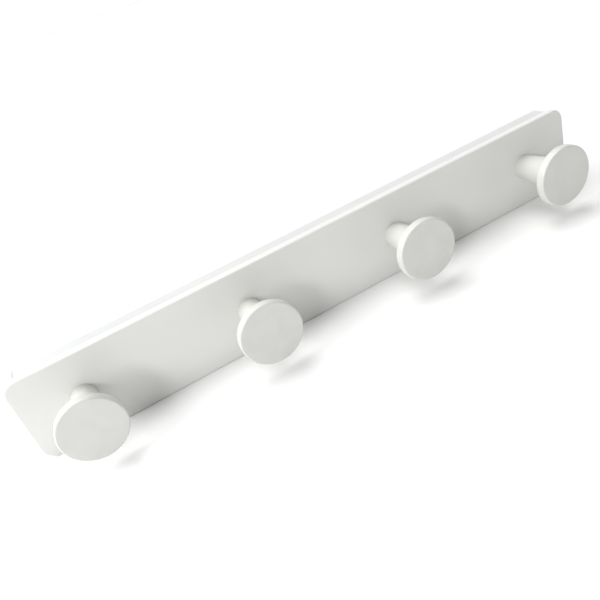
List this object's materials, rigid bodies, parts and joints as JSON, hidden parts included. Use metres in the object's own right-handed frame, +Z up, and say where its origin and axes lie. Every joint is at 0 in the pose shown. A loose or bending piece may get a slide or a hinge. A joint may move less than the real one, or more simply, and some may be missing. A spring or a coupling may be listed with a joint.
{
  "type": "wall-mounted coat rail",
  "caption": "Long white board with rounded corners that carries a row of mushroom-shaped coat knobs, hung on a folded steel wall rail behind it.",
  "frame": {"origin": "centre of the wall face, midway between the two wall slots", "axes": "+X along the rail to the right as seen from the room, +Y into the wall, +Z up"},
  "size_m": [0.5, 0.0715, 0.07],
  "materials": {
    "board_lacquer": "satin white lacquer on medium-density fibreboard",
    "knob_plastic": "satin moulded ABS, white",
    "rail_paint": "white powder coat on folded steel sheet",
    "cap_plastic": "fine-textured moulded ABS, white",
    "block_nylon": "natural moulded nylon",
    "screw_steel": "bright zinc-plated steel",
    "insert_brass": "turned brass"
  },
  "bodies": {
    "root": {"front_board": "board_lacquer", "knob_1": "knob_plastic", "knob_2": "knob_plastic", "knob_3": "knob_plastic", "knob_4": "knob_plastic", "knob_insert_1": "insert_brass", "knob_insert_2": "insert_brass", "knob_insert_3": "insert_brass", "knob_insert_4": "insert_brass", "knob_screws": "screw_steel", "knob_washers": "screw_steel", "wall_rail": "rail_paint", "rail_cap_left": "cap_plastic", "rail_cap_right": "cap_plastic", "lock_block_left": "block_nylon", "lock_block_right": "block_nylon", "block_screws": "screw_steel", "lock_insert_left": "insert_brass", "lock_insert_right": "insert_brass", "lock_screws": "screw_steel"}
  },
  "joints": []
}
